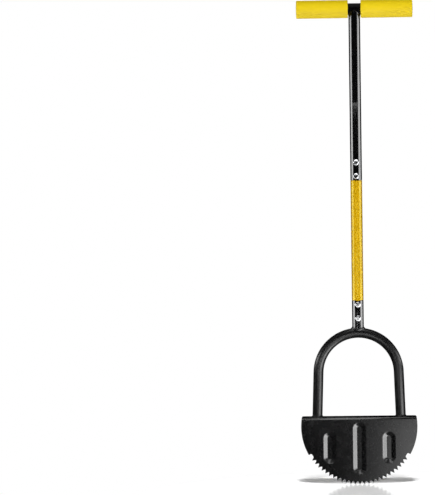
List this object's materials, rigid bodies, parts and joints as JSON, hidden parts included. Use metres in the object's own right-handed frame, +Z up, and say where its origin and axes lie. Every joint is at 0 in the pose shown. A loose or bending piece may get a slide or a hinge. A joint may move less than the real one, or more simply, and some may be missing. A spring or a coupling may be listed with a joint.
{
  "type": "half moon edger",
  "caption": "Half moon lawn edger: toothed, ribbed steel blade with a foot tread, a bent tube fork above it, and a bolted tube handle with a T grip in soft sleeves.",
  "frame": {"origin": "on the floor under the axis of the handle, level with the lowest tooth tip", "axes": "+X to the right along the T grip, -Y out of the blade's front face, +Z up along the handle"},
  "size_m": [0.22, 0.036, 0.916],
  "materials": {
    "satin_black_paint": "satin black powder coat",
    "gloss_black_paint": "glossy black paint",
    "yellow_paint": "glossy yellow paint",
    "yellow_grip": "matte, slightly soft",
    "zinc": "bright zinc plating"
  },
  "bodies": {
    "root": {"fork_tube": "satin_black_paint", "left_leg_weld": "satin_black_paint", "right_leg_weld": "satin_black_paint", "socket_weld": "satin_black_paint", "blade": "satin_black_paint", "lower_tube": "gloss_black_paint", "upper_tube": "gloss_black_paint", "t_bar": "gloss_black_paint", "t_bar_weld": "gloss_black_paint", "middle_tube": "yellow_paint", "left_grip": "yellow_grip", "right_grip": "yellow_grip", "lower_joint_screw_1": "zinc", "lower_joint_screw_2": "zinc", "lower_joint_washer_1": "zinc", "lower_joint_washer_2": "zinc", "lower_joint_nut_1": "zinc", "lower_joint_nut_2": "zinc", "upper_joint_screw_1": "zinc", "upper_joint_screw_2": "zinc", "upper_joint_washer_1": "zinc", "upper_joint_washer_2": "zinc", "upper_joint_nut_1": "zinc", "upper_joint_nut_2": "zinc"}
  },
  "joints": []
}
